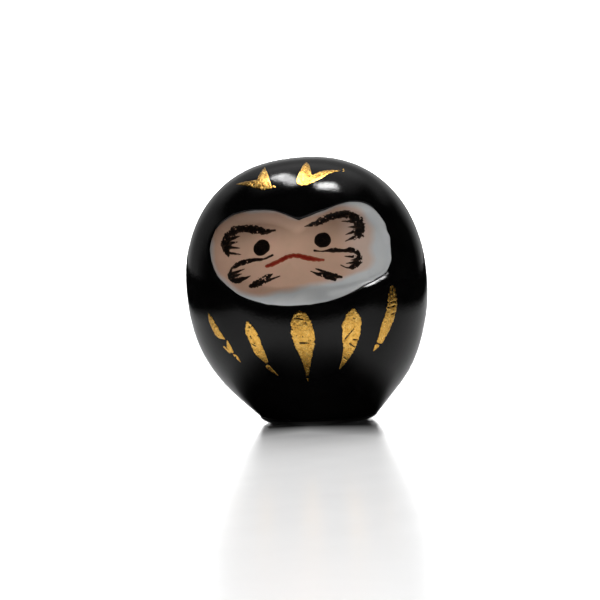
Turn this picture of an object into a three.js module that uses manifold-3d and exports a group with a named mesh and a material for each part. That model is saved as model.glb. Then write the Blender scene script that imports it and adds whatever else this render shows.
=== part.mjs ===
// A small daruma doll: a hollow moulded shell weighted with clay, closed by a foot disc, coated in
// black lacquer round a pressed-in face, and marked in ink and gold.
// Millimetres, +Z up, the face towards -Y. The origin lies under the body's middle, on the plane
// that the foot stands on. "Left" and "right" are as seen from the front.
import * as THREE from "three";
import { ParametricGeometry } from "three/addons/geometries/ParametricGeometry.js";
import { mergeVertices } from "three/addons/utils/BufferGeometryUtils.js";
import Module from "manifold-3d";

const wasm = await Module();
wasm.setup();

// ---- Driving dimensions ----
const HEIGHT = 30; // foot to crown
const BODY_R = 13.67; // radius of the body at its widest
const CENTRE_Z = 15.2; // height of the widest place
const CROWN = HEIGHT - CENTRE_Z; // rise from the widest place to the crown
const CROWN_POWER = 2.28; // fullness of the crown: 2 is an ellipse, more is squarer
const BELLY = 16.0; // the ellipse that the belly follows would end this far below the widest place
const TAPER_FROM = 11.9; // depth below the widest place where the belly runs on as a straight taper
const BODY_FLOOR = 16.5; // depth where the taper's outline ends, below the cut for the foot
const BEND = 0.3; // the belly runs down this far to the right of the middle
const BEND_FROM = 5; // from this depth below the widest place
const BEND_TO = 12; // to this one
const LEAN = THREE.MathUtils.degToRad(3.5); // the moulded body leans to the left on its level foot

const FOOT_HEIGHT = 0.8; // thickness of the foot disc
const FOOT_R = 6.7; // its radius at the top
const FOOT_REST_R = 4.9; // radius of the flat that it stands on
const FOOT_X = 0.75; // its centre: the leaning, bent body comes down off the middle

const COAT = 0.2; // lacquer
const WALL = 1.25; // moulded shell
const PANEL = 0.12; // face enamel
const PANEL_EDGE = 0.985; // share of the way to the lacquer that the enamel reaches
const MARK = 0.1; // ink and gold
const GAP = 0.03; // left between touching pieces
const CLAY_TOP = 7.5; // height that the clay fills the shell to

const RECESS = 1.15; // how far the face is pressed in at its rim
const DISH = 0.45; // and how much further at its middle
const RIM_SLOPE = 2.45; // width of the slope from the rim to the floor of the face
const LIP = 0.25; // how far outside the paint the slope starts
const WIDE_LIP = 1.7; // and where it is widest, at the lower right
const WIDE_LIP_BEARING = THREE.MathUtils.degToRad(-8); // where that is, seen from the face's middle
const WIDE_LIP_SPREAD = THREE.MathUtils.degToRad(54); // and how far to each side it dies away

// ---- The outline of the face, seen from the front: x and height, clockwise from the cleft ----
const CLEFT = [0.9, 23.25];
const FACE_OUTLINE = [
  CLEFT, [3.5, 24.0], [6.4, 24.65], [8.6, 23.9], [10.0, 21.7], [10.4, 19.0], [9.8, 16.7], [7.2, 15.4],
  [3.8, 14.3], [0, 14.1], [-3.6, 14.6], [-6.8, 16.0], [-8.9, 18.2], [-9.6, 20.6], [-8.9, 22.9], [-7.0, 24.3],
  [-4.4, 24.8], [-1.7, 24.5], CLEFT,
];
const FACE_MIDDLE = [0.2, 19.4];

// ---- The marks, seen from the front: x, height and half width along each stroke ----
const PUPILS = { left: [-3.6, 20.65, 0.86], right: [3.2, 20.8, 0.88] };
const EYEBROWS = {
  left: [[-1.9, 22.4, 0.12], [-3.6, 22.4, 0.34], [-4.85, 22.75, 0.44], [-6.1, 22.9, 0.41],
    [-7.2, 22.3, 0.48], [-7.7, 21.35, 0.56], [-7.7, 20.45, 0.41], [-7.5, 20.1, 0.1]],
  right: [[1.45, 22.5, 0.06], [2.6, 22.65, 0.29], [3.9, 23.15, 0.41], [5.45, 23.35, 0.37],
    [6.5, 23.05, 0.45], [7.15, 22.2, 0.57], [7.15, 21.1, 0.5], [6.6, 20.55, 0.12]],
};
const WHISKERS = {
  left: [[-2.4, 19.75, 0.08], [-4.35, 19.4, 0.17], [-5.6, 19.2, 0.26], [-6.7, 18.95, 0.3],
    [-7.3, 18.5, 0.26], [-7.4, 17.9, 0.28], [-6.9, 17.3, 0.28], [-5.4, 17.55, 0.06]],
  right: [[2.2, 19.8, 0.08], [3.55, 19.55, 0.16], [5.25, 19.45, 0.22], [6.4, 19.3, 0.27],
    [6.95, 18.6, 0.27], [6.85, 18.0, 0.32], [6.2, 17.6, 0.28], [5.0, 17.8, 0.06]],
};
const BEARD = {
  left: [[-5.25, 16.55, 0.12], [-4.4, 16.8, 0.4], [-3.4, 17.25, 0.36], [-2.4, 17.6, 0.06]],
  right: [[1.8, 17.55, 0.08], [2.8, 17.2, 0.3], [4.0, 16.95, 0.36], [4.95, 16.75, 0.1]],
};
const MOUTH = [[-3.1, 18.5, 0.15], [-2.0, 18.95, 0.25], [-0.75, 19.45, 0.26], [0.1, 19.5, 0.26],
  [1.4, 19.2, 0.26], [3.3, 18.75, 0.12]];
const FOREHEAD_GOLD = {
  left: [[[-6.5, 27.85, 0.05], [-4.9, 28.0, 0.25], [-3.4, 27.8, 0.45], [-2.2, 27.5, 0.2]],
    [[-3.1, 27.3, 0.2], [-2.9, 28.1, 0.6], [-2.9, 28.8, 0.4], [-2.95, 29.35, 0.05]]],
  right: [[[1.2, 27.2, 0.2], [1.3, 27.9, 0.5], [1.5, 28.7, 0.4], [1.8, 29.4, 0.1]],
    [[1.2, 27.4, 0.1], [2.7, 27.8, 0.4], [4.1, 28.2, 0.25], [5.6, 28.4, 0.05]]],
};
const BELLY_GOLD = {
  outer_left: [[-10.6, 14.0, 0.1], [-10.25, 12.6, 0.4], [-9.6, 11.2, 0.4], [-8.6, 9.7, 0.35],
    [-7.5, 8.1, 0.05]],
  inner_left: [[-5.9, 12.8, 0.1], [-5.8, 12.0, 0.65], [-5.4, 10.4, 0.6], [-4.8, 8.6, 0.5],
    [-3.3, 6.2, 0.05]],
  centre: [[0.1, 13.3, 0.15], [0.2, 11.6, 1.25], [0.25, 9.95, 1.05], [0.3, 8.1, 0.65], [0, 5.5, 0.1]],
  inner_right: [[6.15, 13.0, 0.1], [5.85, 11.3, 0.95], [5.4, 9.4, 0.7], [4.7, 7.8, 0.45], [3.8, 6.3, 0.05]],
  outer_right: [[10.5, 15.0, 0.1], [10.4, 13.6, 0.5], [10.0, 11.6, 0.55], [9.2, 9.8, 0.45],
    [7.7, 7.9, 0.05]],
};

// ---- Finishes ----
const FINISH = {
  lacquer: { color: 0x0a0a0b, roughness: 0.08, metalness: 0 },
  paper: { color: 0xb9a888, roughness: 0.9, metalness: 0 },
  clay: { color: 0x8c7a66, roughness: 0.9, metalness: 0 },
  enamel: { color: 0xd9bfae, roughness: 0.2, metalness: 0 },
  ink: { color: 0x0c0806, roughness: 0.5, metalness: 0 },
  red: { color: 0x9a2a1c, roughness: 0.5, metalness: 0 },
  gold: { color: 0xd9a441, roughness: 0.3, metalness: 1 },
};

// ---- The body's skin, in the body's own frame: its middle at the origin, its axis along Z ----
const TAPER_R = BODY_R * Math.sqrt(1 - (TAPER_FROM / BELLY) ** 2);
const TAPER_SLOPE = (BODY_R ** 2 * TAPER_FROM) / (BELLY ** 2 * TAPER_R);

/** Radius of the body at a height above its widest place. */
function radiusAt(h) {
  if (h >= 0) return BODY_R * Math.max(0, 1 - (h / CROWN) ** CROWN_POWER) ** (1 / CROWN_POWER);
  if (-h <= TAPER_FROM) return BODY_R * Math.sqrt(1 - (h / BELLY) ** 2);
  return TAPER_R - TAPER_SLOPE * (-h - TAPER_FROM);
}

/** A place seen from the front, as x and height above the body's middle. */
const seen = ([x, height]) => new THREE.Vector2(x, height - CENTRE_Z);
const outline = new THREE.SplineCurve(FACE_OUTLINE.map(seen));
const middle = seen(FACE_MIDDLE);
const outlinePoints = outline.getPoints(400);

/** The turn between two bearings, from 0 to half a turn. */
const turnBetween = (a, b) => Math.abs(Math.atan2(Math.sin(a - b), Math.cos(a - b)));

/** Distance from the face's middle to its painted outline, on the way through a point. */
function outlineReach(point) {
  const bearing = point.clone().sub(middle).angle();
  const turn = (p) => turnBetween(p.clone().sub(middle).angle(), bearing);
  return outlinePoints.reduce((best, p) => (turn(p) < turn(best) ? p : best)).distanceTo(middle);
}

/** How far outside the paint the slope starts, on the way through a point. */
function lipWidth(point) {
  const bearing = point.clone().sub(middle).angle();
  const fade = Math.max(0, 1 - (turnBetween(bearing, WIDE_LIP_BEARING) / WIDE_LIP_SPREAD) ** 2) ** 2;
  return LIP + (WIDE_LIP - LIP) * fade;
}

/** The front skin at a point seen from the front, with the face pressed in. */
function frontSkin(point) {
  const y = -Math.sqrt(Math.max(0, radiusAt(point.y) ** 2 - point.x ** 2));
  const edge = outlineReach(point) + lipWidth(point);
  const reach = point.distanceTo(middle);
  const inside = Math.max(0, 1 - (reach / edge) ** 2);
  const press = RECESS * THREE.MathUtils.smoothstep(edge - reach, 0, RIM_SLOPE) + DISH * inside;
  return new THREE.Vector3(point.x, y + press, point.y);
}

/** Takes a point of the round body sideways to where the bent belly holds it. */
function bend(point) {
  point.x += BEND * THREE.MathUtils.smoothstep(-point.z, BEND_FROM, BEND_TO);
  return point;
}

const scaleFor = (depth) => 1 - depth / BODY_R;
const steps = (count) => Array.from({ length: count + 1 }, (_, i) => i / count);

/** Everything within the round body, before its face is pressed in, down to a depth. */
function roundBody(depth, segments, rows) {
  const profile = [new THREE.Vector2(0, -BODY_FLOOR), new THREE.Vector2(radiusAt(-BODY_FLOOR), -BODY_FLOOR)];
  const addAt = (h) => profile.push(new THREE.Vector2(radiusAt(h), h));
  steps(rows - 2).forEach((share) => addAt(-TAPER_FROM * (1 - share)));
  steps(rows).slice(1, -1).forEach((share) => addAt(CROWN * Math.sin((share * Math.PI) / 2)));
  profile.push(new THREE.Vector2(0, CROWN));
  const scale = scaleFor(depth);
  const lathe = new THREE.LatheGeometry(profile, segments).rotateX(Math.PI / 2).scale(scale, scale, scale);
  const { position } = lathe.attributes;
  const point = new THREE.Vector3();
  for (let i = 0; i < position.count; i++) {
    position.setX(i, bend(point.fromBufferAttribute(position, i)).x);
  }
  return solid(lathe);
}

/** A block ahead of the skin: rows of [share of the way from the face's middle, depth]. */
function blockAhead(placeAt, rows, columns) {
  return solid(new ParametricGeometry((u, v, target) => {
    const [share, depth] = rows[Math.round(v * (rows.length - 1))];
    bend(target.copy(frontSkin(placeAt(u % 1, share))).multiplyScalar(scaleFor(depth)));
  }, columns, rows.length - 1));
}

/** What the pressed-in face takes out of the round body, at a depth. */
function hollow(depth, columns, rows) {
  const placeAt = (round, share) => {
    const edge = outline.getPointAt(round);
    const rim = edge.distanceTo(middle) + lipWidth(edge);
    const slope = RIM_SLOPE / rim;
    // The outer half of the rows lies on the slope at the rim.
    const place = share < 0.5 ? 2 * share * (1 - slope) : 1 - slope * 2 * (1 - share);
    return middle.clone().lerp(edge, (place * rim) / edge.distanceTo(middle));
  };
  const floor = steps(rows).map((share) => [share, depth]);
  return blockAhead(placeAt, [...floor, [1, -BODY_R / 2], [0, -BODY_R / 2]], columns);
}

/** The body with its face pressed in, down to a depth. Layers with the same counts fit to scale. */
function pressedBody(depth, { segments = 40, rows = 8, columns = 44, faceRows = 8 } = {}) {
  return roundBody(depth, segments, rows).subtract(hollow(depth, columns, faceRows));
}

/** Everything on the way in through the painted outline, or through a share of it. */
function faceOpening(share = 1) {
  const rows = [[0, 2 * WALL], [share, 2 * WALL], [share, -BODY_R / 3], [0, -BODY_R / 3]];
  return blockAhead((round, place) => middle.clone().lerp(outline.getPointAt(round), place), rows, 88);
}

/** A manifold-3d solid from a closed geometry. */
function solid(geometry) {
  const bare = geometry.clone();
  bare.deleteAttribute("normal");
  bare.deleteAttribute("uv");
  const merged = mergeVertices(bare, 1e-4);
  const corners = [];
  for (let i = 0; i < merged.index.count; i += 3) {
    const [a, b, c] = merged.index.array.subarray(i, i + 3);
    if (a !== b && b !== c && a !== c) corners.push(a, b, c);
  }
  const made = (triVerts) => new wasm.Manifold(
    new wasm.Mesh({ numProp: 3, vertProperties: merged.attributes.position.array, triVerts }),
  );
  const first = made(new Uint32Array(corners));
  return first.volume() > 0 ? first : made(new Uint32Array(corners.reverse()));
}

/** The geometry of a manifold-3d solid. */
function geometryOf(made) {
  const mesh = made.getMesh();
  const geometry = new THREE.BufferGeometry();
  geometry.setAttribute("position", new THREE.BufferAttribute(new Float32Array(mesh.vertProperties), 3));
  geometry.setIndex(new THREE.BufferAttribute(new Uint32Array(mesh.triVerts), 1));
  return geometry;
}

const doll = new THREE.Group();
const body = new THREE.Group(); // everything that leans with the moulded body
body.position.z = CENTRE_Z;
body.rotation.y = -LEAN;
body.updateMatrix();
doll.add(body);

/** Adds a named piece in one of the finishes. */
function add(parent, name, made, finish) {
  const mesh = new THREE.Mesh(geometryOf(made), new THREE.MeshStandardMaterial(FINISH[finish]));
  mesh.name = name;
  parent.add(mesh);
}

/** A level slab from one height to another, in the body's own frame. */
function slab(low, high) {
  const box = new THREE.BoxGeometry(4 * BODY_R, 4 * BODY_R, high - low);
  return solid(box.translate(0, 0, (low + high) / 2).applyMatrix4(body.matrix.clone().invert()));
}

const underFoot = slab(-HEIGHT, FOOT_HEIGHT + GAP);

function addShell() {
  const inside = { segments: 24, rows: 6, columns: 24, faceRows: 4 };
  const outside = pressedBody(COAT + GAP);
  add(body, "shell", outside.subtract(pressedBody(COAT + WALL, inside)).subtract(underFoot), "paper");
  const clay = pressedBody(COAT + WALL + GAP, inside).subtract(underFoot).intersect(slab(0, CLAY_TOP));
  add(body, "clay_weight", clay, "clay");
}

function addCoat() {
  const coat = pressedBody(0).subtract(pressedBody(COAT)).subtract(faceOpening());
  add(body, "lacquer_coat", coat.subtract(underFoot), "lacquer");
}

function addFacePanel() {
  const layer = pressedBody(COAT - PANEL).subtract(pressedBody(COAT));
  add(body, "face_panel", layer.intersect(faceOpening(PANEL_EDGE)), "enamel");
}

function addFootDisc() {
  const flare = FOOT_R - FOOT_REST_R;
  const curve = new THREE.EllipseCurve(FOOT_REST_R, FOOT_HEIGHT, flare, FOOT_HEIGHT, -Math.PI / 2, 0);
  const profile = [new THREE.Vector2(0, 0), ...curve.getPoints(5), new THREE.Vector2(0, FOOT_HEIGHT)];
  const disc = new THREE.LatheGeometry(profile, 40).rotateX(Math.PI / 2).translate(FOOT_X, 0, 0);
  add(doll, "foot_disc", solid(disc), "lacquer");
}

/** A brush stroke on the skin: a ribbon along points of [x, height, half width]. */
function stroke(points, depth) {
  const line = new THREE.SplineCurve(points.map(seen));
  const widths = new THREE.SplineCurve(points.map(([, , w], i) => new THREE.Vector2(i, w)));
  const stations = 3 * (points.length - 1);
  const root = -2 * MARK; // sunk under the skin, to be cut away by it
  const section = [[-1, MARK], [0, MARK], [1, MARK], [1, root], [0, root], [-1, root]];
  return solid(new ParametricGeometry((u, v, target) => {
    const at = Math.min(Math.max(v, 0.001), 0.999);
    const tip = v === 0 || v === 1; // the stroke closes to a point at each end
    const [side, lift] = section[Math.round(u * section.length) % section.length];
    const direction = line.getTangent(at);
    const offset = tip ? 0 : side * Math.max(widths.getPoint(at).y, 0.04);
    const across = new THREE.Vector2(-direction.y, direction.x).multiplyScalar(offset);
    target.copy(frontSkin(line.getPoint(at).add(across)));
    bend(target.multiplyScalar(scaleFor(depth - (tip ? 0 : lift))));
  }, section.length, stations));
}

/** A round dot on the skin. */
function dot([x, height, radius], depth) {
  const centre = seen([x, height]);
  const rings = [[0, MARK], [0.5, MARK], [1, MARK], [1, -2 * MARK], [0, -2 * MARK]];
  return solid(new ParametricGeometry((u, v, target) => {
    const [reach, lift] = rings[Math.round(v * (rings.length - 1))];
    const rim = new THREE.Vector2(radius * reach, 0).rotateAround(new THREE.Vector2(), 2 * Math.PI * u);
    bend(target.copy(frontSkin(rim.add(centre))).multiplyScalar(scaleFor(depth - lift)));
  }, 20, rings.length - 1));
}

function addMarks() {
  const panelDepth = COAT - PANEL;
  const underFaceMarks = pressedBody(panelDepth - GAP);
  const underGold = pressedBody(-GAP);
  const onFace = (name, made, finish) => add(body, name, made.subtract(underFaceMarks), finish);
  const onCoat = (name, made) => add(body, name, made.subtract(underGold), "gold");
  for (const side of ["left", "right"]) {
    onFace(`pupil_${side}`, dot(PUPILS[side], panelDepth), "ink");
    onFace(`eyebrow_${side}`, stroke(EYEBROWS[side], panelDepth), "ink");
    onFace(`whiskers_${side}`, stroke(WHISKERS[side], panelDepth), "ink");
    onFace(`beard_${side}`, stroke(BEARD[side], panelDepth), "ink");
    const [wing, leaf] = FOREHEAD_GOLD[side];
    onCoat(`forehead_gold_${side}`, stroke(wing, 0).add(stroke(leaf, -GAP)));
  }
  onFace("mouth", stroke(MOUTH, panelDepth), "red");
  for (const [place, points] of Object.entries(BELLY_GOLD)) {
    onCoat(`belly_gold_${place}`, stroke(points, 0));
  }
}

addShell();
addCoat();
addFacePanel();
addFootDisc();
addMarks();

export default doll;
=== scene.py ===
import math
import bpy
import numpy as np
from mathutils import Matrix, Vector


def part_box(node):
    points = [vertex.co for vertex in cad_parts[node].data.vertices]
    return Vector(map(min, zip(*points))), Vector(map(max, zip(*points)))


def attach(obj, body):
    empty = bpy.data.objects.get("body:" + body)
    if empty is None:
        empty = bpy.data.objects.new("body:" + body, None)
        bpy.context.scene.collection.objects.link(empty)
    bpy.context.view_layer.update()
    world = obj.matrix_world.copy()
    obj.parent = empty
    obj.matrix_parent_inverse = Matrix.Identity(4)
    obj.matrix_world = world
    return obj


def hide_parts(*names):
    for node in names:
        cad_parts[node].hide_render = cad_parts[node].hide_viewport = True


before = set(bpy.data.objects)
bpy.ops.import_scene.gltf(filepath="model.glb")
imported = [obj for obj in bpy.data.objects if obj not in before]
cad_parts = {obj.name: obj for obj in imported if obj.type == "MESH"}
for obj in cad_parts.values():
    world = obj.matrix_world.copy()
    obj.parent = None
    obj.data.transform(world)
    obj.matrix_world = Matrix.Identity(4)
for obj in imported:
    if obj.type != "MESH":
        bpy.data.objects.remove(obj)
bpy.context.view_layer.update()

# ---------------------------------------------------------------------------------------------
# The doll's own frame: millimetres from the middle of its body, leaning with the body.
# ---------------------------------------------------------------------------------------------
HEIGHT = 30.0
BODY_R = 13.67
CENTRE_Z = 15.2
CROWN = HEIGHT - CENTRE_Z
CROWN_POWER = 2.28
BELLY = 16.0
TAPER_FROM = 11.9
LEAN = math.radians(3.5)
BEND, BEND_FROM, BEND_TO = 0.3, 5.0, 12.0  # the belly runs down a little off the middle to the foot
FOOT_H = 0.8
COAT = 0.2
WALL = 1.25
TAPER_R = BODY_R * math.sqrt(1 - (TAPER_FROM / BELLY) ** 2)
TAPER_SLOPE = BODY_R**2 * TAPER_FROM / (BELLY**2 * TAPER_R)


def radius_at(h):
    """Radius of the body at a height from its widest place."""
    h = np.asarray(h, float)
    up = BODY_R * np.clip(1 - (np.clip(h, 0, CROWN) / CROWN) ** CROWN_POWER, 0, None) ** (1 / CROWN_POWER)
    down = BODY_R * np.sqrt(np.clip(1 - (np.clip(h, -TAPER_FROM, 0) / BELLY) ** 2, 0, None))
    taper = TAPER_R - TAPER_SLOPE * (-h - TAPER_FROM)
    return np.where(h >= 0, up, np.where(-h <= TAPER_FROM, down, taper))


def skin_reach(d):
    """Distance from the body's middle to the skin along unit directions."""
    out, up = np.hypot(d[..., 0], d[..., 1]), d[..., 2]
    rise = np.clip(up, 0, None) / CROWN
    crown = ((out / BODY_R) ** CROWN_POWER + rise**CROWN_POWER) ** (-1 / CROWN_POWER)
    belly = 1 / np.hypot(out / BODY_R, up / BELLY)
    taper = (TAPER_R + TAPER_SLOPE * TAPER_FROM) / (out - TAPER_SLOPE * np.minimum(up, 0) + 1e-9)
    return np.where(up >= 0, crown, np.where(-up * belly > TAPER_FROM, taper, belly))


def unit(v):
    return v / np.linalg.norm(v, axis=-1, keepdims=True)


def smoothstep(value, low, high):
    t = np.clip((value - low) / (high - low), 0, 1)
    return t * t * (3 - 2 * t)


def bend_at(z):
    """How far the belly is bent to the right at a height from the middle."""
    return BEND * smoothstep(-z, BEND_FROM, BEND_TO)


def to_world(p):
    """Points in the doll's own frame, as metres in the CAD frame."""
    x, y, z = p[..., 0] + bend_at(p[..., 2]), p[..., 1], p[..., 2]
    c, s = math.cos(LEAN), math.sin(LEAN)
    return np.stack([x * c - z * s, y, x * s + z * c + CENTRE_Z], -1) * 0.001


def lattice(x, z, size, seed):
    """Smooth value noise from -1 to 1, the same on every run."""
    grid = np.random.RandomState(seed).rand(64, 64) * 2 - 1
    x, z = np.asarray(x) / size + 100.3, np.asarray(z) / size + 100.7
    i, j = np.floor(x).astype(int), np.floor(z).astype(int)
    u, v = x - i, z - j
    u, v = u * u * (3 - 2 * u), v * v * (3 - 2 * v)
    a, b = grid[i % 64, j % 64], grid[(i + 1) % 64, j % 64]
    c, d = grid[i % 64, (j + 1) % 64], grid[(i + 1) % 64, (j + 1) % 64]
    return (a * (1 - u) + b * u) * (1 - v) + (c * (1 - u) + d * u) * v


# ---- The face: its painted outline and the hollow that it lies in, seen from the front ----
OUTLINE = [
    (0.9, 23.25), (3.5, 24.0), (6.4, 24.65), (8.6, 23.9), (10.0, 21.7), (10.4, 19.0), (9.8, 16.7),
    (7.2, 15.4), (3.8, 14.3), (0.0, 14.1), (-3.6, 14.6), (-6.8, 16.0), (-8.9, 18.2), (-9.6, 20.6),
    (-8.9, 22.9), (-7.0, 24.3), (-4.4, 24.8), (-1.7, 24.5),
]
FACE_MIDDLE = np.array([0.2, 19.4 - CENTRE_Z])
AROUND = 400  # points round the outline
UNEVEN, UNEVEN_SIZE = 0.006, 0.8  # how far the painted edge wanders, as a share, and over what length


def catmull_rom(a, b, c, d, t):
    """The place at a share t of the way from b to c on a Catmull-Rom curve."""
    return 0.5 * (2 * b + (c - a) * t + (2 * a - 5 * b + 4 * c - d) * t**2 + (3 * b - a - 3 * c + d) * t**3)


def closed_curve(points, count):
    """A closed Catmull-Rom curve, its first point a corner, as points evenly spaced along it."""
    p = np.array(points, float)
    n = len(p)
    fine = []
    for i in range(n):
        a, b, c, d = p[i - 1], p[i], p[(i + 1) % n], p[(i + 2) % n]
        if i == 0:
            a = 2 * b - c
        if i == n - 1:
            d = 2 * c - b
        for t in np.linspace(0, 1, 24, endpoint=False):
            fine.append(catmull_rom(a, b, c, d, t))
    fine = np.array(fine + [fine[0]])
    along = np.concatenate([[0], np.cumsum(np.linalg.norm(np.diff(fine, axis=0), axis=1))])
    at = np.linspace(0, along[-1], count, endpoint=False)
    return np.stack([np.interp(at, along, fine[:, k]) for k in (0, 1)], -1)


EDGE = closed_curve(OUTLINE, AROUND) - [0, CENTRE_Z]
EDGE = FACE_MIDDLE + (EDGE - FACE_MIDDLE) * (1 + UNEVEN * lattice(*EDGE.T, UNEVEN_SIZE, 3))[:, None]
BEARING = np.unwrap(np.arctan2(*(EDGE - FACE_MIDDLE).T[::-1]))
EDGE_REACH = np.linalg.norm(EDGE - FACE_MIDDLE, axis=1)
_order = np.argsort(np.mod(BEARING, 2 * math.pi))
_turns = np.mod(BEARING, 2 * math.pi)[_order]
_reach = EDGE_REACH[_order]


def edge_reach(bearing):
    return np.interp(np.mod(bearing, 2 * math.pi), _turns, _reach, period=2 * math.pi)


def bump_at(bearing, middle, width):
    """1 at a bearing in degrees, falling to 0 at a width either side."""
    off = np.degrees(np.angle(np.exp(1j * (bearing - math.radians(middle)))))
    return np.clip(1 - (off / width) ** 2, 0, None) ** 2


# Where the hollow's rim passes over the cleft, in degrees, and how much of it is smoothed.
CLEFT_BEARING, CLEFT_SPREAD, CLEFT_SOFT = 80, 62, math.radians(15)
_even = np.radians(np.arange(0, 360, 0.5))
_weight = np.exp(-0.5 * (np.angle(np.exp(1j * (_even[:, None] - _even))) / CLEFT_SOFT) ** 2)
_smooth = _weight @ edge_reach(_even) / _weight.sum(1)


def rim_reach(bearing):
    """Reach of the hollow's rim: the outline's, smoothed where the cleft is."""
    reach = edge_reach(bearing)
    smooth = np.interp(np.mod(bearing, 2 * math.pi), _even, _smooth, period=2 * math.pi)
    return reach + (smooth - reach) * bump_at(bearing, CLEFT_BEARING, CLEFT_SPREAD)


# How far outside the paint the hollow starts: everywhere, and at the lower right, where it is widest at
# a bearing in degrees and narrows to the rest at a spread either side.
LIP, WIDE_LIP, WIDE_LIP_BEARING, WIDE_LIP_SPREAD = 0.25, 1.7, -8, 54
HOLLOW = 1.15  # how far the face is pressed in at its rim
DISH = 0.45  # and how much further at its middle
SLOPE_W = 2.45  # width of the slope from the rim to the floor of the face


def press(x, z):
    """How far the hollow is pressed in, at places seen from the front."""
    off = np.stack([x - FACE_MIDDLE[0], z - FACE_MIDDLE[1]], -1)
    reach, bearing = np.linalg.norm(off, axis=-1), np.arctan2(off[..., 1], off[..., 0])
    wide = bump_at(bearing, WIDE_LIP_BEARING, WIDE_LIP_SPREAD)
    start = rim_reach(bearing) + LIP + (WIDE_LIP - LIP) * wide
    t = np.clip((start - reach) / SLOPE_W, 0, 1)
    return HOLLOW * t * t * (3 - 2 * t) + DISH * np.clip(1 - (reach / start) ** 2, 0, None)


def front(x, z, depth=0.0):
    """Points of the front skin, seen from the front at x and z, under it by a depth."""
    y = -np.sqrt(np.clip(radius_at(z) ** 2 - x**2, 0, None)) + press(x, z)
    return np.stack([x, y, z], -1) * (1 - np.asarray(depth)[..., None] / BODY_R)


# ---------------------------------------------------------------------------------------------
# Meshes
# ---------------------------------------------------------------------------------------------
def mesh_object(name, points, faces, material, node, smooth=True):
    mesh = bpy.data.meshes.new(name)
    mesh.from_pydata([tuple(p) for p in np.asarray(points, float)], [], faces)
    mesh.validate()
    mesh.update()
    obj = bpy.data.objects.new(name, mesh)
    bpy.context.scene.collection.objects.link(obj)
    if smooth:
        mesh.polygons.foreach_set("use_smooth", [True] * len(mesh.polygons))
    mesh.materials.append(material)
    if node:
        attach(obj, "root")
        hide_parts(*([node] if isinstance(node, str) else node))
    return obj


def grid_faces(rows, columns, flip=False, close=False):
    """Quads between rows of points that go once round."""
    faces = []
    for j in range(rows if close else rows - 1):
        for i in range(columns):
            a, b = j * columns + i, j * columns + (i + 1) % columns
            k = (j + 1) % rows
            c, d = k * columns + (i + 1) % columns, k * columns + i
            faces.append((a, d, c, b) if flip else (a, b, c, d))
    return faces


def set_attribute(obj, name, values):
    layer = obj.data.attributes.new(name, "FLOAT", "POINT")
    layer.data.foreach_set("value", np.asarray(values, np.float32).ravel())


# ---------------------------------------------------------------------------------------------
# Materials
# ---------------------------------------------------------------------------------------------
def add_node(tree, kind, inputs=(), **settings):
    """A shader node, with its settings, and each input linked to an output or set to a value."""
    made = tree.nodes.new(kind)
    for key, value in settings.items():
        setattr(made, key, value)
    for key, value in dict(inputs).items():
        if hasattr(value, "is_output"):
            tree.links.new(value, made.inputs[key])
        else:
            made.inputs[key].default_value = value
    return made


def bare_tree(owner):
    """The empty node tree of a material or a world."""
    owner.use_nodes = True
    owner.node_tree.nodes.clear()
    return owner.node_tree


class Material:
    """A node material with a Principled shader and a few ways to add to it."""

    def __init__(self, name, **sockets):
        self.material = bpy.data.materials.new(name)
        self.material.use_nodes = True
        self.tree = self.material.node_tree
        self.shader = self.tree.nodes["Principled BSDF"]
        for key, value in sockets.items():
            socket = self.shader.inputs[key.replace("_", " ")]
            socket.default_value = (*value, 1) if isinstance(value, tuple) else value

    def node(self, kind, inputs=(), **settings):
        return add_node(self.tree, kind, inputs, **settings)

    def coords(self, scale=1000.0):
        """Object coordinates in millimetres."""
        where = self.node("ShaderNodeTexCoord").outputs["Object"]
        return self.node("ShaderNodeVectorMath", {0: where, 3: scale}, operation="SCALE").outputs[0]

    def noise(self, size, detail=3.0, rough=0.5, stretch=None):
        where = self.coords()
        if stretch:
            where = self.node("ShaderNodeVectorMath", {0: where, 1: stretch}, operation="MULTIPLY").outputs[0]
        inputs = {"Vector": where, "Scale": 1 / size, "Detail": detail, "Roughness": rough}
        return self.node("ShaderNodeTexNoise", inputs).outputs["Fac"]

    def ramp(self, fac, *stops):
        made = self.node("ShaderNodeValToRGB", {"Fac": fac})
        ramp = made.color_ramp
        while len(ramp.elements) < len(stops):
            ramp.elements.new(0.5)
        for element, (at, colour) in zip(ramp.elements, stops):
            element.position = at
            element.color = (*colour, 1) if isinstance(colour, tuple) else (colour, colour, colour, 1)
        return made.outputs["Color"]

    def mix(self, fac, a, b):
        made = self.node("ShaderNodeMix", data_type="RGBA")
        for key, value in ((0, fac), (6, a), (7, b)):
            if hasattr(value, "is_output"):
                self.tree.links.new(value, made.inputs[key])
            else:
                made.inputs[key].default_value = (*value, 1) if isinstance(value, tuple) else value
        return made.outputs[2]

    def bump(self, height, distance, strength=1.0, normal=None):
        made = self.node("ShaderNodeBump", {"Height": height, "Distance": distance, "Strength": strength})
        if normal is not None:
            self.tree.links.new(normal, made.inputs["Normal"])
        return made.outputs["Normal"]

    def use(self, **outputs):
        for key, output in outputs.items():
            self.tree.links.new(output, self.shader.inputs[key.replace("_", " ")])
        return self.material


def lacquer():
    m = Material("black_lacquer", Roughness=0.07, Specular_IOR_Level=0.25, Coat_Weight=0.0)
    tone = m.ramp(m.noise(3.0), (0.35, (0.0016, 0.0016, 0.0018)), (0.7, (0.0028, 0.0027, 0.0027)))
    rough = m.ramp(m.noise(1.6, 4), (0.3, 0.06), (0.75, 0.12))
    wave = m.bump(m.noise(3.5, 2), 0.00002, 0.5)
    peel = m.bump(m.noise(0.42, 4, 0.65), 0.000013, 0.8, wave)
    return m.use(Base_Color=tone, Roughness=rough, Normal=peel)


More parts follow.
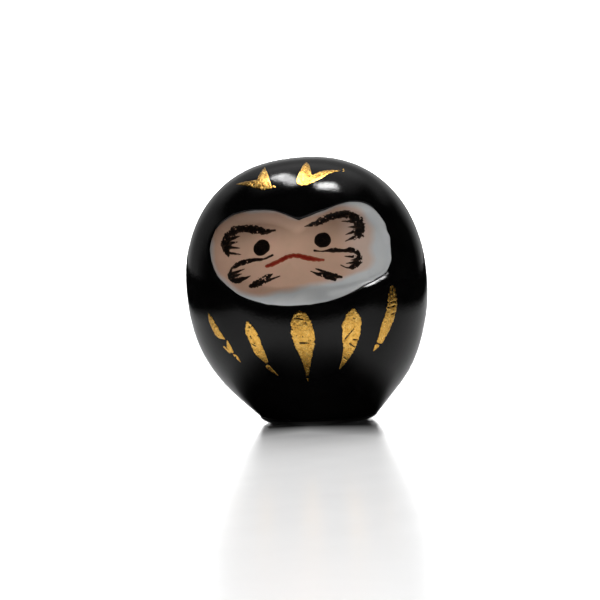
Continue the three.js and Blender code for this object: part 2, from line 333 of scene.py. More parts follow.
def enamel():
    m = Material("face_enamel", Roughness=0.3, Specular_IOR_Level=0.18)
    pink = m.node("ShaderNodeAttribute", attribute_name="pink").outputs["Fac"]
    rosy = m.ramp(m.noise(3.4, 3), (0.36, (0.70, 0.45, 0.31)), (0.62, (0.86, 0.52, 0.38)))
    mottle = m.mix(m.noise(0.7, 4), rosy, (0.80, 0.51, 0.36))
    white = m.ramp(m.noise(2.5, 2), (0.3, (0.74, 0.76, 0.77)), (0.7, (0.80, 0.81, 0.80)))
    colour = m.mix(pink, white, mottle)
    shade = m.node("ShaderNodeAttribute", attribute_name="shade").outputs["Fac"]
    colour = m.node("ShaderNodeVectorMath", {0: colour, 3: shade}, operation="SCALE").outputs[0]
    rough = m.ramp(m.noise(1.2, 3), (0.3, 0.26), (0.7, 0.38))
    return m.use(Base_Color=colour, Roughness=rough, Normal=m.bump(m.noise(0.9, 3), 0.000008, 0.5))


def gold():
    m = Material("gold_foil", Roughness=0.3, Metallic=1.0, Coat_Weight=0.3, Coat_Roughness=0.22)
    deep, mid, pale = (0.60, 0.28, 0.04), (0.96, 0.53, 0.10), (1.0, 0.65, 0.19)
    tone = m.ramp(m.noise(0.45, 5, 0.6), (0.25, deep), (0.5, mid), (0.8, pale))
    rough = m.ramp(m.noise(0.3, 3), (0.3, 0.2), (0.7, 0.34))
    creases = m.bump(m.noise(0.35, 4, 0.6), 0.00004, 0.6)
    return m.use(Base_Color=tone, Roughness=rough, Normal=creases)


def ink():
    m = Material("ink", Roughness=0.6, Specular_IOR_Level=0.12)
    body = m.node("ShaderNodeAttribute", attribute_name="body").outputs["Fac"]
    grain = m.noise(0.13, 3, 0.6)
    black, brown, thin = (0.0015, 0.0009, 0.0006), (0.006, 0.003, 0.002), (0.05, 0.027, 0.015)
    thick = m.ramp(grain, (0.4, black), (0.56, brown), (0.72, thin))
    colour = m.mix(m.ramp(body, (0.1, 0.0), (0.6, 1.0)), (0.05, 0.027, 0.016), thick)
    return m.use(Base_Color=colour, Normal=m.bump(m.noise(0.15, 2), 0.00001, 0.6))


def red_paint():
    m = Material("red_paint", Roughness=0.5, Specular_IOR_Level=0.15)
    body = m.node("ShaderNodeAttribute", attribute_name="body").outputs["Fac"]
    thick = m.ramp(m.noise(0.35, 3), (0.3, (0.20, 0.011, 0.004)), (0.75, (0.28, 0.020, 0.008)))
    colour = m.mix(m.ramp(body, (0.0, 0.0), (0.9, 1.0)), (0.40, 0.11, 0.06), thick)
    return m.use(Base_Color=colour, Normal=m.bump(m.noise(0.2, 2), 0.00001, 0.6))


def pulp():
    m = Material("moulded_paper", Roughness=0.9)
    tone = m.ramp(m.noise(0.8, 6, 0.65), (0.3, (0.36, 0.30, 0.21)), (0.7, (0.60, 0.53, 0.41)))
    return m.use(Base_Color=tone, Normal=m.bump(m.noise(0.25, 5), 0.0001, 0.8))


def clay():
    m = Material("clay", Roughness=0.92)
    tone = m.ramp(m.noise(1.1, 6, 0.6), (0.3, (0.24, 0.18, 0.13)), (0.7, (0.40, 0.32, 0.25)))
    return m.use(Base_Color=tone, Normal=m.bump(m.noise(0.4, 5), 0.00012, 0.8))


def foot_lacquer():
    m = Material("foot_lacquer", Roughness=0.1)
    tone = m.ramp(m.noise(2.0), (0.35, (0.0016, 0.0016, 0.0018)), (0.7, (0.003, 0.0028, 0.0027)))
    rings = m.noise(0.3, 2, stretch=(0.3, 0.3, 4))
    rough = m.ramp(m.noise(1.0, 4), (0.3, 0.07), (0.75, 0.2))
    return m.use(Base_Color=tone, Roughness=rough, Normal=m.bump(rings, 0.00001, 0.4))


LACQUER, ENAMEL, GOLD, INK, RED, FOOT = lacquer(), enamel(), gold(), ink(), red_paint(), foot_lacquer()

# ---------------------------------------------------------------------------------------------
# The lacquered body
# ---------------------------------------------------------------------------------------------
FOOT_CUT = FOOT_H + 0.03 - CENTRE_Z  # height of the level cut for the foot, from the body's middle
PANEL_TOP = 0.08  # how far the enamel's face lies under the lacquer's
EDGE_BEAD = 0.11  # radius that the lacquer's edge rounds off with
DOWN = 190


def plane_of(d):
    """Directions on a flat chart: the crown in the middle and the foot far out."""
    return d[..., :2] / (1 + d[..., 2:])


def direction_of(p):
    s = (p**2).sum(-1, keepdims=True)
    return np.concatenate([2 * p, 1 - s], -1) / (1 + s)


def coat_columns():
    """Skin directions from the face's outline, over the whole body, to the cut for the foot."""
    start = plane_of(unit(front(EDGE[:, 0], EDGE[:, 1])))
    middle = plane_of(unit(front(*FACE_MIDDLE.reshape(2, 1))))[0]
    reach, bearing = np.linalg.norm(start - middle, axis=1), np.arctan2(*(start - middle).T[::-1])
    cos_b = np.cos(bearing)
    a = TAPER_R + TAPER_SLOPE * TAPER_FROM
    h = (FOOT_CUT - a * cos_b * math.sin(LEAN)) / (math.cos(LEAN) + TAPER_SLOPE * cos_b * math.sin(LEAN))
    r = a + TAPER_SLOPE * h
    end = np.linalg.norm(plane_of(unit(np.stack([r * cos_b, r * np.sin(bearing), h], -1))), axis=1)
    t = np.linspace(0, 1, DOWN)[:, None] ** 1.7
    out = np.exp((1 - t) * np.log(reach) + t * np.log(end))
    grow = out.mean(1, keepdims=True)
    share = (grow - grow[0]) / (grow[-1] - grow[0])
    centre = middle * (1 - share)
    around = np.stack([np.cos(bearing), np.sin(bearing)], -1)
    return direction_of(centre[:, None, :] + out[..., None] * around)


def pressed_skin(d):
    """The skin in each direction, with the hollow's lip pressed in on the front."""
    p = d * skin_reach(d)[..., None]
    push = np.where(p[..., 1] < 0, press(p[..., 0], p[..., 2]), 0)
    return p + np.stack([push * 0, push, push * 0], -1)


def build_coat():
    d = coat_columns()
    skin = pressed_skin(d)
    start = front(EDGE[:, 0], EDGE[:, 1])
    skin[0] = start
    steps = np.linalg.norm(np.diff(skin, axis=0), axis=2)
    run = np.concatenate([np.zeros((1, AROUND)), np.cumsum(steps, axis=0)])
    inside = np.clip(EDGE_BEAD - run, 0, None)
    depth = EDGE_BEAD - np.sqrt(np.clip(EDGE_BEAD**2 - inside**2, 0, None))
    outer = skin * (1 - depth / BODY_R)[..., None]
    inner = skin[::6] * (1 - COAT / BODY_R)
    inner[-1] = skin[-1] * (1 - COAT / BODY_R)
    rows = np.concatenate([inner[::-1], outer])
    points = to_world(rows.reshape(-1, 3))
    faces = grid_faces(len(rows), AROUND, close=True)
    return mesh_object("lacquer", points, faces, LACQUER, "lacquer_coat")


def build_panel():
    shares = np.concatenate([np.linspace(0, 0.6, 26)[1:], np.linspace(0.6, 1, 46)[1:]])
    edge = EDGE[None] - FACE_MIDDLE
    places = FACE_MIDDLE + shares[:, None, None] * edge * 0.997
    x, z = places[..., 0], places[..., 1]
    top = front(x, z, np.full(x.shape, PANEL_TOP))
    under = front(x[::5], z[::5], np.full(x[::5].shape, COAT + 0.02))
    rows = np.concatenate([top, under[::-1]])
    n = len(rows)
    points = rows.reshape(-1, 3)
    first = front(*FACE_MIDDLE.reshape(2, 1), np.array([PANEL_TOP]))
    last = front(*FACE_MIDDLE.reshape(2, 1), np.array([COAT + 0.02]))
    faces = grid_faces(n, AROUND)
    points = np.concatenate([points, first, last])
    for i in range(AROUND):
        j = (i + 1) % AROUND
        faces.append((n * AROUND, j, i))
        faces.append((n * AROUND + 1, (n - 1) * AROUND + i, (n - 1) * AROUND + j))
    obj = mesh_object("face_enamel", to_world(points), faces, ENAMEL, "face_panel")
    off = points[:, [0, 2]] - FACE_MIDDLE
    reach, bearing = np.linalg.norm(off, axis=1), np.arctan2(off[:, 1], off[:, 0])
    gap = edge_reach(bearing) - reach
    low = bump_at(bearing, -90, 85)
    right = bump_at(bearing, -12, 75)
    band = 0.05 + 1.75 * low + 2.15 * right
    pink = np.clip((gap - band + 0.35 * lattice(points[:, 0], points[:, 2], 1.8, 5)) / 0.8 + 0.5, 0, 1)
    x, z = points[:, 0], points[:, 2] + CENTRE_Z
    set_attribute(obj, "pink", pink * (1 - 0.3 * smoothstep(x, 4.5, 7.0)))
    set_attribute(obj, "shade", painted_shade(x, z))
    return obj


def painted_shade(x, z):
    """How light the enamel's colour is, as painted shade and painted light, from x and the height above the
    foot: lightest between the brows, shaded towards the top of the hollow and at its left edge, lighter to
    the right and low down.
    """
    glow = np.exp(-((x + 1.6) ** 2) / 18 - (z - 21.6) ** 2 / 8)
    shade = 0.79 + 0.27 * glow + 0.1 * smoothstep(x, 4.0, 8.0)
    shade *= 1 - 0.58 * smoothstep(z, 19.8, 24.2) * (1 - 0.6 * smoothstep(x, 4.5, 8.5))
    shade *= 1 - 0.28 * smoothstep(-x, 7.5, 9.8) * smoothstep(z, 17.0, 19.0)
    shade *= 1 + 0.42 * smoothstep(-z, -16.0, -14.6) * smoothstep(-x, -3.0, 0.0)
    shade *= 1 + 0.08 * smoothstep(x, 1.0, 4.0) * smoothstep(-z, -17.5, -15.5)
    return shade


def build_shell():
    """The moulded body under the lacquer and the enamel: an outer and an inner skin."""
    shares = np.linspace(0, 1, 30)[1:-1]
    places = FACE_MIDDLE + shares[:, None, None] * (EDGE[None] - FACE_MIDDLE)
    skin = np.concatenate([front(places[..., 0], places[..., 1]), pressed_skin(coat_columns()[::3])])
    skin[-1] = pressed_skin(coat_columns()[-1:])[0]
    outer = skin * (1 - (COAT + 0.03) / BODY_R)
    inner = skin[::2] * (1 - (COAT + WALL) / BODY_R)
    rows = np.concatenate([outer, inner[::-1]])
    n = len(rows)
    middle = front(*FACE_MIDDLE.reshape(2, 1))[0]
    tips = [middle * (1 - (COAT + 0.03) / BODY_R), middle * (1 - (COAT + WALL) / BODY_R)]
    points = np.concatenate([rows.reshape(-1, 3), tips])
    faces = grid_faces(n, AROUND)
    for i in range(AROUND):
        j = (i + 1) % AROUND
        faces.append((n * AROUND, j, i))
        faces.append((n * AROUND + 1, (n - 1) * AROUND + i, (n - 1) * AROUND + j))
    return mesh_object("moulded_shell", to_world(points), faces, pulp(), "shell")


def build_foot():
    lo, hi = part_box("foot_disc")
    lo, hi = np.array(lo) * 1000, np.array(hi) * 1000
    cx, cy, rim = (lo[0] + hi[0]) / 2, (lo[1] + hi[1]) / 2, (hi[0] - lo[0]) / 2
    rest = 4.9
    a = np.linspace(-math.pi / 2, 0, 12)
    profile = [(0.3, 0.0)] + [(rest + (rim - rest) * math.cos(t), FOOT_H + FOOT_H * math.sin(t)) for t in a]
    profile += [(rim - 0.03, FOOT_H), (0.3, FOOT_H)]
    count = 192
    turn = np.linspace(0, 2 * math.pi, count, endpoint=False)
    ring = np.stack([np.cos(turn), np.sin(turn)], -1)
    rows = [np.column_stack([ring * r + [cx, cy], np.full(count, z)]) for r, z in profile]
    points = np.concatenate(rows) * 0.001
    faces = grid_faces(len(rows), count, flip=False)
    faces.append(tuple(range(count))[::-1])
    faces.append(tuple(range((len(rows) - 1) * count, len(rows) * count)))
    return mesh_object("foot", points, faces, FOOT, "foot_disc")


build_coat()
build_panel()
build_shell()
build_foot()
clay_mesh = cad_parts["clay_weight"].data
clay_mesh.materials.clear()
clay_mesh.materials.append(clay())

# ---------------------------------------------------------------------------------------------
# The marks: brush strokes, seen from the front, as places of (x, height, half width)
# ---------------------------------------------------------------------------------------------
MARKS = {
    "pupil_left": {"strokes": [[(-3.7, 20.55, 0.8), (-3.45, 20.75, 0.8)]]},
    "pupil_right": {"strokes": [[(3.1, 20.8, 0.8), (3.3, 20.8, 0.8)]]},
    "eyebrow_left": {
        "strokes": [
            [(-1.9, 22.4, 0.1), (-3.0, 22.4, 0.3), (-4.6, 22.75, 0.42), (-6.1, 22.9, 0.4), (-7.2, 22.3, 0.5),
             (-7.7, 21.3, 0.55), (-7.5, 20.1, 0.2)],
        ],
        "hairs": [
            (-7.0, 21.9, -6.0, 22.1), (-7.2, 21.4, -6.3, 21.5), (-7.4, 21.0, -6.1, 20.8),
            (-7.5, 20.4, -6.0, 20.1),
        ],
    },
    "eyebrow_right": {
        "strokes": [
            [(1.4, 22.5, 0.05), (2.6, 22.65, 0.28), (3.9, 23.1, 0.4), (5.4, 23.35, 0.38), (6.5, 23.05, 0.45),
             (7.2, 22.2, 0.57), (7.1, 21.1, 0.5), (6.6, 20.5, 0.15)],
        ],
        "hairs": [
            (6.7, 22.4, 5.4, 22.6), (7.0, 21.8, 6.0, 21.9), (6.8, 21.4, 5.7, 21.1),
            (6.8, 20.8, 5.6, 20.4),
        ],
    },
    "whiskers_left": {
        "strokes": [
            [(-2.4, 19.75, 0.1), (-3.4, 19.4, 0.13), (-4.8, 19.4, 0.24), (-6.2, 19.1, 0.3),
             (-7.2, 18.7, 0.15)],
            [(-7.3, 18.5, 0.15), (-7.4, 17.8, 0.26), (-6.8, 17.3, 0.3), (-6.1, 17.4, 0.24),
             (-5.1, 17.7, 0.03)],
        ],
        "hairs": [(-7.2, 18.1, -5.7, 18.5), (-7.0, 17.8, -6.1, 18.0)],
    },
    "whiskers_right": {
        "strokes": [
            [(2.2, 19.8, 0.12), (3.0, 19.6, 0.07), (4.2, 19.6, 0.24), (5.3, 19.4, 0.17), (6.2, 19.4, 0.28),
             (6.9, 18.8, 0.26), (6.9, 18.0, 0.3), (6.3, 17.6, 0.3), (5.6, 17.5, 0.08), (4.9, 17.9, 0.06)],
        ],
        "hairs": [(6.8, 18.5, 5.4, 18.8), (6.8, 18.3, 6.0, 18.3), (6.6, 18.0, 5.5, 18.0)],
    },
    "beard_left": {
        "strokes": [
            [(-5.2, 16.6, 0.18), (-4.5, 16.75, 0.4), (-3.6, 17.2, 0.4), (-2.6, 17.7, 0.05)],
            [(-3.3, 17.0, 0.18), (-1.8, 17.4, 0.05)],
        ],
    },
    "beard_right": {
        "strokes": [
            [(1.6, 17.6, 0.05), (2.4, 17.2, 0.17), (3.3, 16.95, 0.38), (4.1, 16.4, 0.18)],
            [(2.2, 17.8, 0.08), (3.0, 17.4, 0.15), (4.0, 16.9, 0.25), (4.8, 16.6, 0.15)],
        ],
    },
    "mouth": {
        "strokes": [
            [(-3.2, 18.6, 0.18), (-2.2, 18.85, 0.26), (-0.6, 19.45, 0.26), (0.5, 19.35, 0.26),
             (1.8, 18.9, 0.26),
             (3.1, 18.65, 0.16)],
        ],
    },
    "belly_gold_outer_left": {
        "strokes": [
            [(-10.4, 13.9, 0.07), (-10.1, 13.0, 0.33), (-9.5, 11.6, 0.37), (-8.8, 11.0, 0.07)],
            [(-8.5, 10.8, 0.06), (-8.4, 10.0, 0.28), (-8.1, 9.5, 0.15)],
            [(-9.0, 10.1, 0.1), (-8.4, 9.4, 0.1)],
            [(-8.0, 9.2, 0.07), (-7.7, 8.9, 0.18), (-7.3, 8.3, 0.03)],
        ],
    },
    "belly_gold_inner_left": {
        "strokes": [
            [(-5.8, 12.7, 0.2), (-5.6, 11.8, 0.57), (-5.3, 10.8, 0.63), (-4.9, 9.4, 0.55), (-4.3, 8.2, 0.2)],
            [(-4.2, 7.6, 0.23), (-3.7, 7.0, 0.16), (-3.2, 6.5, 0.02)],
        ],
        "cracks": [
            (-5.7, 11.2, -5.6, 10.9), (-5.6, 10.3, -5.2, 10.0), (-4.6, 11.3, -4.9, 11.2),
            (-5.7, 12.3, -5.6, 12.2),
        ],
    },
    "belly_gold_centre": {
        "strokes": [
            [(0.0, 13.1, 0.45), (0.1, 12.4, 0.98), (0.1, 11.2, 1.2), (0.2, 10.0, 1.08), (0.2, 8.6, 0.66),
             (0.1, 7.2, 0.34), (0.0, 6.3, 0.17)],
            [(0.0, 5.8, 0.12), (0.0, 5.6, 0.08)],
        ],
        "cracks": [
            (-0.3, 10.0, 0.7, 9.9), (-0.4, 12.8, 0.4, 12.6), (0.6, 12.2, 0.7, 12.1),
            (0.1, 7.2, 0.2, 7.1),
        ],
    },
    "belly_gold_inner_right": {
        "strokes": [
            [(5.8, 12.9, 0.25), (5.6, 12.0, 0.82), (5.4, 11.0, 1.0), (5.1, 9.6, 0.78), (4.5, 8.0, 0.42),
             (3.6, 6.6, 0.06)],
        ],
        "cracks": [(4.6, 9.9, 5.6, 10.9), (5.4, 9.7, 5.9, 9.6), (5.0, 9.3, 5.5, 8.8), (4.2, 7.8, 4.6, 7.4)],
    },
    "belly_gold_outer_right": {
        "strokes": [
            [(10.1, 14.7, 0.28), (10.0, 13.6, 0.46), (9.7, 12.2, 0.5), (9.1, 10.8, 0.52), (8.2, 9.1, 0.32)],
            [(7.8, 8.6, 0.23), (7.4, 8.1, 0.05)],
        ],
        "cracks": [(9.4, 12.7, 10.2, 12.8), (9.8, 13.2, 10.2, 13.3), (9.8, 11.9, 10.2, 12.0)],
    },
    "forehead_gold_left": {
        "blots": [
            [(-6.4, 27.7), (-5.0, 27.9), (-3.7, 27.95), (-3.4, 28.6), (-2.9, 29.2), (-2.4, 28.4),
             (-1.9, 26.9),
             (-2.9, 26.8), (-3.9, 27.1), (-5.2, 27.5)],
        ],
        "strokes": [[(-1.8, 27.1, 0.12), (-1.6, 27.0, 0.07)]],
    },
    "forehead_gold_right": {
        "blots": [
            [(0.8, 27.1), (0.8, 27.7), (1.5, 29.1), (1.8, 29.3), (2.1, 29.1), (2.5, 27.9), (3.6, 28.2),
             (4.7, 28.2),
             (5.5, 28.0), (4.4, 27.8), (3.5, 27.4), (1.9, 26.8), (1.3, 26.8)],
        ],
        "strokes": [[(5.8, 28.1, 0.08), (5.9, 27.9, 0.07)]],
    },
}
HAIR_ROOT, HAIR_TIP = 0.22, 0.04  # half widths of a brush hair's mark, drawn from its root to its tip
CRACK = 0.05  # half width of a crack in the gold
STEP = 0.035  # size of the squares that a mark is cut out of


def spline(points, per_span=6):
    """A Catmull-Rom curve through places of any number of coordinates."""
    p = np.array(points, float)
    p = np.concatenate([2 * p[:1] - p[1:2], p, 2 * p[-1:] - p[-2:-1]])
    fine = []
    for a, b, c, d in zip(p[:-3], p[1:-2], p[2:-1], p[3:]):
        for t in np.linspace(0, 1, per_span, endpoint=False):
            fine.append(catmull_rom(a, b, c, d, t))
    return np.array(fine + [p[-2]])


def off_segment(x, z, a, b):
    """Distance from a segment, and the share of the way along it of the nearest place."""
    way = b[:2] - a[:2]
    t = np.clip(((x - a[0]) * way[0] + (z - a[1]) * way[1]) / max(way @ way, 1e-12), 0, 1)
    return np.hypot(x - a[0] - t * way[0], z - a[1] - t * way[1]), t


def off_stroke(x, z, points, ragged=0.0):
    """Distance outside a stroke, less than 0 within it, its width changed by a ragged share."""
    away = np.full(x.shape, 9.0)
    line = spline(points)
    for a, b in zip(line[:-1], line[1:]):
        reach, t = off_segment(x, z, a, b)
        away = np.minimum(away, reach - np.maximum(a[2] + (b[2] - a[2]) * t, 0.01) * (1 + ragged))
    return away


def off_blot(x, z, points):
    """Distance outside a closed outline, less than 0 within it."""
    p = np.array(points, float)
    away, inside = np.full(x.shape, 9.0), np.zeros(x.shape, bool)
    for a, b in zip(p, np.roll(p, -1, axis=0)):
        away = np.minimum(away, off_segment(x, z, a, b)[0])
        crosses = (a[1] > z) != (b[1] > z)
        inside ^= crosses & (x < a[0] + (z - a[1]) * (b[0] - a[0]) / (b[1] - a[1] + 1e-12))
    return np.where(inside, -away, away)


def mark_field(mark, rag, grain, speck, seed):
    """A grid over a mark, with how far outside its ragged edge each place is."""
    places = [p[:2] for kind in ("strokes", "blots") for line in mark.get(kind, []) for p in line]
    low, high = np.min(places, axis=0) - 1.2, np.max(places, axis=0) + 1.2
    x, z = np.meshgrid(np.arange(low[0], high[0], STEP), np.arange(low[1], high[1], STEP))
    ragged = rag * (lattice(x, z, grain, seed) + 0.6 * lattice(x, z, grain / 2.2, seed + 1))
    ragged = ragged + 0.5 * rag * lattice(x, z, 0.8, seed + 5)
    away = np.full(x.shape, 9.0)
    for line in mark.get("strokes", []):
        away = np.minimum(away, off_stroke(x, z, line, ragged))
    for line in mark.get("blots", []):
        away = np.minimum(away, off_blot(x, z, line) - 0.25 * ragged)
    for x0, z0, x1, z1 in mark.get("hairs", []):
        away = np.minimum(away, off_stroke(x, z, [(x0, z0, HAIR_ROOT), (x1, z1, HAIR_TIP)], ragged))
    for x0, z0, x1, z1 in mark.get("cracks", []):
        away = np.maximum(away, -off_stroke(x, z, [(x0, z0, CRACK), (x1, z1, CRACK / 2)], 3 * ragged))
    specks = lattice(x, z, 0.24, seed + 2) + 0.4 * lattice(x, z, 0.11, seed + 4)
    away = np.maximum(away, 0.25 * (specks - speck))
    return x, z - CENTRE_Z, away


def cut_out(x, z, away):
    """Polygons of the squares' parts inside a mark, and its rim, as places in a list."""
    places, index, polygons, rim = [], {}, [], []
    inside = away < 0

    def corner(j, i):
        key = (j, i)
        if key not in index:
            index[key] = len(places)
            places.append((x[j, i], z[j, i], away[j, i]))
        return index[key]

    def crossing(a, b):
        key = (min(a, b), max(a, b))
        if key not in index:
            t = away[a] / (away[a] - away[b])
            index[key] = len(places)
            places.append((x[a] + (x[b] - x[a]) * t, z[a] + (z[b] - z[a]) * t, 0.0))
        return index[key]

    touched = inside[:-1, :-1] | inside[1:, :-1] | inside[:-1, 1:] | inside[1:, 1:]
    for j, i in zip(*np.nonzero(touched)):
        corners = [(j, i), (j, i + 1), (j + 1, i + 1), (j + 1, i)]
        polygon, cuts = [], []
        for a, b in zip(corners, corners[1:] + corners[:1]):
            if inside[a]:
                polygon.append(corner(*a))
            if inside[a] != inside[b]:
                polygon.append(crossing(a, b))
                cuts.append((len(polygon) - 1, inside[a]))
        for at, leaves in cuts:
            if leaves:
                rim.append((polygon[at], polygon[(at + 1) % len(polygon)]))
        polygons.append(tuple(polygon))
    return np.array(places), polygons, rim


def build_mark(name, base, thick, rag, grain, speck, seed, material, slot):
    """A thin closed film in the shape of a mark, rounded off at its edges, on the skin."""
    places, polygons, rim = cut_out(*mark_field(MARKS[name], rag, grain, speck, seed))
    x, z, away = places.T
    lift = thick * (0.25 + 0.75 * np.sqrt(np.clip(-away / 0.09, 0, 1)))
    lift = lift * (1 + 0.25 * lattice(x, z, 0.25, seed + 3))
    x = x - bend_at(z)
    top, under = front(x, z, base - lift), front(x, z, np.full(x.shape, base + 0.02))
    count = len(places)
    faces = polygons + [tuple(k + count for k in reversed(polygon)) for polygon in polygons]
    faces += [(b, a, a + count, b + count) for a, b in rim]
    points = to_world(np.concatenate([top, under]))
    obj = mesh_object(f"{name}_{slot.split('_')[-1]}", points, faces, material, name)
    set_attribute(obj, "body", np.tile(np.clip(-away / 0.2, 0, 1), 2))
    return obj


def build_marks():
    """Each mark's film: how deep it lies, how thick it is, how ragged, in what grain, and how speckled."""
    for order, name in enumerate(MARKS):
        seed = 40 + 7 * order
        if "gold" in name:
            build_mark(name, 0.0, 0.03, 0.08, 0.3, 1.05, seed, GOLD, "gold_foil")
        elif name == "mouth":
            build_mark(name, PANEL_TOP, 0.03, 0.2, 0.3, 2.0, seed, RED, "red_paint")
        elif "pupil" in name:
            build_mark(name, PANEL_TOP, 0.04, 0.04, 0.5, 2.0, seed, INK, "ink")
        else:
            build_mark(name, PANEL_TOP, 0.035, 0.26, 0.2, 0.86, seed, INK, "ink")


build_marks()

# ---------------------------------------------------------------------------------------------
# Camera, table and light
# ---------------------------------------------------------------------------------------------
VIEW_AZ, VIEW_EL, VIEW_ROLL = math.radians(5), math.radians(4), math.radians(2.5)
PICTURE_WIDTH = 68.053  # millimetres across the picture at the doll's distance
OFF_RIGHT, OFF_UP = 0.8166, 1.4745  # where the body's middle sits in the picture, from its middle


def make_camera():
    data = bpy.data.cameras.new("camera")
    data.lens, data.sensor_width = 150, 36
    camera = bpy.data.objects.new("camera", data)
    bpy.context.scene.collection.objects.link(camera)
    side = Vector((math.cos(VIEW_AZ), math.sin(VIEW_AZ), 0))
    level = Vector((math.sin(VIEW_AZ), -math.cos(VIEW_AZ), 0))
    back = level * math.cos(VIEW_EL) + Vector((0, 0, math.sin(VIEW_EL)))
    up = back.cross(side)
    right = side * math.cos(VIEW_ROLL) - up * math.sin(VIEW_ROLL)
    top = side * math.sin(VIEW_ROLL) + up * math.cos(VIEW_ROLL)
    distance = PICTURE_WIDTH * data.lens / data.sensor_width
    at = Vector((0, 0, CENTRE_Z)) - right * OFF_RIGHT - top * OFF_UP + back * distance
    turn = Matrix((right, top, back)).transposed().to_4x4()
    camera.matrix_world = Matrix.Translation(at * 0.001) @ turn
    data.clip_start, data.clip_end = 0.01, 20
    bpy.context.scene.camera = camera


def map_range(tree, value, low, high, to_low=0.0, to_high=1.0, soft=False):
    """A value's share of the way from low to high, as a number between two others."""
    inputs = {"Value": value, "From Min": low, "From Max": high, "To Min": to_low, "To Max": to_high}
    kind = "SMOOTHSTEP" if soft else "LINEAR"
    return add_node(tree, "ShaderNodeMapRange", inputs, interpolation_type=kind).outputs[0]


def maths(tree, operation, *values):
    """Values taken together in turn by one operation."""
    total = values[0]
    for value in values[1:]:
        total = add_node(tree, "ShaderNodeMath", {0: total, 1: value}, operation=operation).outputs[0]
    return total


def make_floor():
    """A pale table that gives off light ahead of the doll, and again far from it."""
    m = Material("table", Roughness=0.3, Specular_IOR_Level=0.5)
    tree = m.tree
    tone = m.ramp(m.noise(9.0, 3), (0.3, 0.78), (0.7, 0.80))
    rough = m.ramp(m.noise(6.0, 2), (0.3, 0.17), (0.7, 0.20))
    split = m.node("ShaderNodeSeparateXYZ", {0: m.coords()}).outputs
    aside = m.node("ShaderNodeMath", {0: split["X"]}, operation="ABSOLUTE").outputs[0]
    front_way = maths(tree, "MULTIPLY", split["Y"], -1.0)
    ahead = maths(tree, "SUBTRACT", front_way, maths(tree, "MULTIPLY", aside, 0.15))
    widen = maths(tree, "ADD", maths(tree, "MULTIPLY", aside, 0.6), 6.0)
    near = maths(tree, "DIVIDE", maths(tree, "SUBTRACT", ahead, 5.0), widen)
    near = m.node("ShaderNodeClamp", {"Value": near}).outputs[0]
    far = map_range(tree, ahead, 30.0, 110.0, 0.34, 0.5)
    reach = map_range(tree, aside, 220.0, 60.0)
    end = map_range(tree, ahead, 420.0, 160.0)
    pool = maths(tree, "MULTIPLY", maths(tree, "MULTIPLY", near, far), maths(tree, "MULTIPLY", reach, end))
    away = m.node("ShaderNodeVectorMath", {0: m.coords()}, operation="LENGTH").outputs["Value"]
    rim = map_range(tree, away, 120.0, 700.0, 0.0, 0.75)
    m.use(Base_Color=tone, Roughness=rough, Emission_Strength=maths(tree, "MAXIMUM", pool, rim))
    m.shader.inputs["Emission Color"].default_value = (1, 1, 1, 1)
    points = [(x, y, 0) for x in (-TABLE_HALF, TABLE_HALF) for y in (-TABLE_HALF, TABLE_HALF)]
    floor = mesh_object("table", points, [(0, 2, 3, 1)], m.material, None, smooth=False)


TABLE_HALF = 1.5  # metres from the doll to each side of the table
WORLD_FRONT = 0.004  # light from all round
PAPER, PAPER_HIGH, PAPER_LEFT = 6.0, 0.45, 0.16  # a bright low paper behind, and fainter ones round it
CEILING, CEILING_LOW = 0.45, 0.22


def make_world():
    """A bright paper low behind, a dim ceiling, a dark room on the camera's side, and white to the camera."""
    world = bpy.data.worlds.new("studio")
    bpy.context.scene.world = world
    tree = bare_tree(world)

    def product(*values):
        return maths(tree, "MULTIPLY", *values)

    def rise(value, low, high):
        return map_range(tree, value, low, high, soft=True)

    def between(value, low, high, soft):
        return product(rise(value, low - soft, low + soft), rise(value, high + soft, high - soft))

    way = add_node(tree, "ShaderNodeTexCoord").outputs["Generated"]
    x, y, z = add_node(tree, "ShaderNodeSeparateXYZ", {0: way}).outputs
    up = maths(tree, "MAXIMUM", z, 0.05)
    u, v = maths(tree, "DIVIDE", x, up), maths(tree, "DIVIDE", y, up)
    behind = rise(y, 0.0, 0.25)
    light = maths(
        tree, "ADD", WORLD_FRONT,
        product(PAPER, between(x, -0.29, 0.11, 0.04), behind, rise(z, 0.17, 0.08)),
        product(PAPER_HIGH, between(x, -0.5, 0.5, 0.2), behind, rise(z, 0.45, 0.25)),
        product(PAPER_LEFT, between(x, -0.9, -0.45, 0.1), behind, rise(z, 0.6, 0.4)),
        product(CEILING, between(u, -0.5, 0.6, 0.2), rise(v, -0.05, 0.45), rise(v, 1.5, 0.7)),
        product(CEILING_LOW, between(u, -1.2, 1.2, 0.4), rise(v, 0.6, 1.2), rise(z, 0.2, 0.4)),
    )
    seen = add_node(tree, "ShaderNodeLightPath").outputs["Is Camera Ray"]
    lit = add_node(tree, "ShaderNodeBackground", {"Color": (1, 1, 1, 1), "Strength": light})
    plain = add_node(tree, "ShaderNodeBackground", {"Color": (1, 1, 1, 1), "Strength": 1.1})
    both = add_node(tree, "ShaderNodeMixShader", {0: seen, 1: lit.outputs[0], 2: plain.outputs[0]})
    add_node(tree, "ShaderNodeOutputWorld", {"Surface": both.outputs[0]})
    world.cycles.sampling_method = "MANUAL"
    world.cycles.sample_map_resolution = 1024


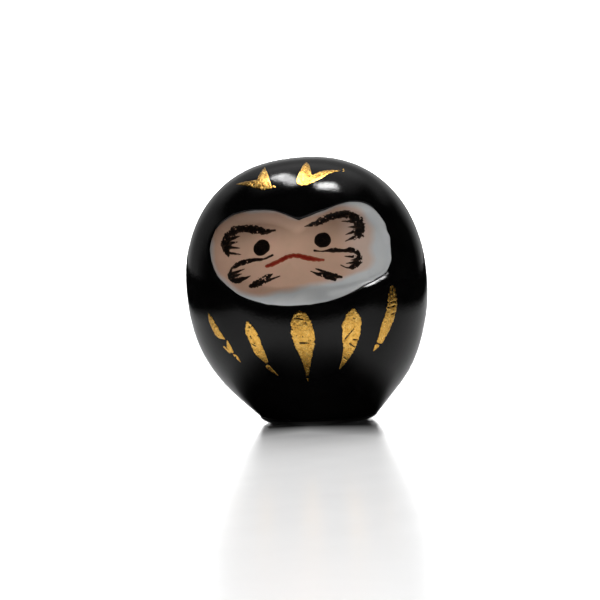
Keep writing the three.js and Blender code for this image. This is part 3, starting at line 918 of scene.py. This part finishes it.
def make_card():
    """A black card over the table that only reflections see, from above, open ahead of the doll."""
    material = bpy.data.materials.new("black_card")
    tree = bare_tree(material)
    where = add_node(tree, "ShaderNodeTexCoord").outputs["Object"]
    split = add_node(tree, "ShaderNodeSeparateXYZ", {0: where}).outputs

    def fade(axis, low, high):
        return map_range(tree, split[axis], low, high, soft=True)

    def times(*values):
        return maths(tree, "MULTIPLY", *values)

    sides = times(fade("X", -0.085, -0.050), fade("X", 0.085, 0.050))
    under = times(fade("Y", -0.027, -0.012), fade("Y", 0.002, -0.002))
    under = times(under, times(fade("X", -0.017, -0.007), fade("X", 0.017, 0.007)))
    opening = times(times(fade("Y", -0.050, -0.032), sides), maths(tree, "SUBTRACT", 1.0, under))
    back = add_node(tree, "ShaderNodeNewGeometry").outputs["Backfacing"]
    clear = maths(tree, "MAXIMUM", opening, back)
    dark = add_node(tree, "ShaderNodeBsdfDiffuse", {"Color": (0.004, 0.004, 0.004, 1)}).outputs[0]
    glass = add_node(tree, "ShaderNodeBsdfTransparent").outputs[0]
    both = add_node(tree, "ShaderNodeMixShader", {0: clear, 1: dark, 2: glass}).outputs[0]
    add_node(tree, "ShaderNodeOutputMaterial", {"Surface": both})
    points = [(x, y, CARD_LIFT) for x in (-TABLE_HALF, TABLE_HALF) for y in (-TABLE_HALF, TABLE_HALF)]
    card = mesh_object("black_card", points, [(0, 2, 3, 1)], material, None, smooth=False)
    card.visible_camera = card.visible_diffuse = card.visible_shadow = card.visible_transmission = False


CARD_LIFT = 0.0006  # metres from the table up to the card


def area(name, direction, distance, size, power):
    """A soft light that looks at the doll from a direction and isn't seen in its gloss."""
    data = bpy.data.lights.new(name, "AREA")
    data.shape = "RECTANGLE"
    data.size, data.size_y = size
    data.energy = power
    light = bpy.data.objects.new(name, data)
    bpy.context.scene.collection.objects.link(light)
    way = Vector(direction).normalized()
    light.location = Vector((0, 0, 0.015)) + way * distance
    light.rotation_mode = "QUATERNION"
    light.rotation_quaternion = way.to_track_quat("Z", "Y")
    light.visible_glossy = False
    return light


def panel(name, direction, size, soft, strength):
    """A lit cloth panel high over the doll that only its gloss sees, fading at its edges."""
    material = bpy.data.materials.new(name)
    tree = bare_tree(material)
    where = add_node(tree, "ShaderNodeTexCoord").outputs["Object"]
    split = add_node(tree, "ShaderNodeSeparateXYZ", {0: where}).outputs
    total = strength
    for axis, half in (("X", size[0] / 2), ("Y", size[1] / 2)):
        off = add_node(tree, "ShaderNodeMath", {0: split[axis]}, operation="ABSOLUTE").outputs[0]
        total = maths(tree, "MULTIPLY", total, map_range(tree, off, half, half - soft, soft=True))
    noise = {"Vector": where, "Scale": 60.0, "Detail": 3.0}
    cloth = add_node(tree, "ShaderNodeTexNoise", noise).outputs["Fac"]
    total = maths(tree, "MULTIPLY", total, map_range(tree, cloth, 0.38, 0.62, 0.25, 1.5))
    glow = add_node(tree, "ShaderNodeEmission", {"Strength": total})
    add_node(tree, "ShaderNodeOutputMaterial", {"Surface": glow.outputs[0]})
    w, h = size[0] / 2, size[1] / 2
    corners = [(-w, -h, 0), (w, -h, 0), (w, h, 0), (-w, h, 0)]
    made = mesh_object(name, corners, [(3, 2, 1, 0)], material, None, smooth=False)
    way = Vector(direction).normalized()
    turn = way.to_track_quat("Z", "Y").to_matrix().to_4x4()
    made.matrix_world = Matrix.Translation(Vector((0, 0, 0.02)) + way * 0.6) @ turn
    made.visible_diffuse = made.visible_camera = made.visible_shadow = False


make_camera()
make_floor()
make_world()
make_card()
panel("panel_right", (0.275, 0.145, 1.0), (0.13, 0.175), 0.04, 38.0)
panel("panel_left", (-0.175, 0.33, 1.0), (0.12, 0.30), 0.035, 18.0)
area("overhead", (-0.05, 0.3, 1.0), 0.6, (0.3, 0.3), 1.8)
area("fill", (0.45, -0.9, 0.02), 0.6, (0.3, 0.1), 0.8)
area("key", (0.1, 0.75, 1.0), 0.6, (0.25, 0.25), 1.5)
bpy.context.scene.view_settings.view_transform = "Standard"
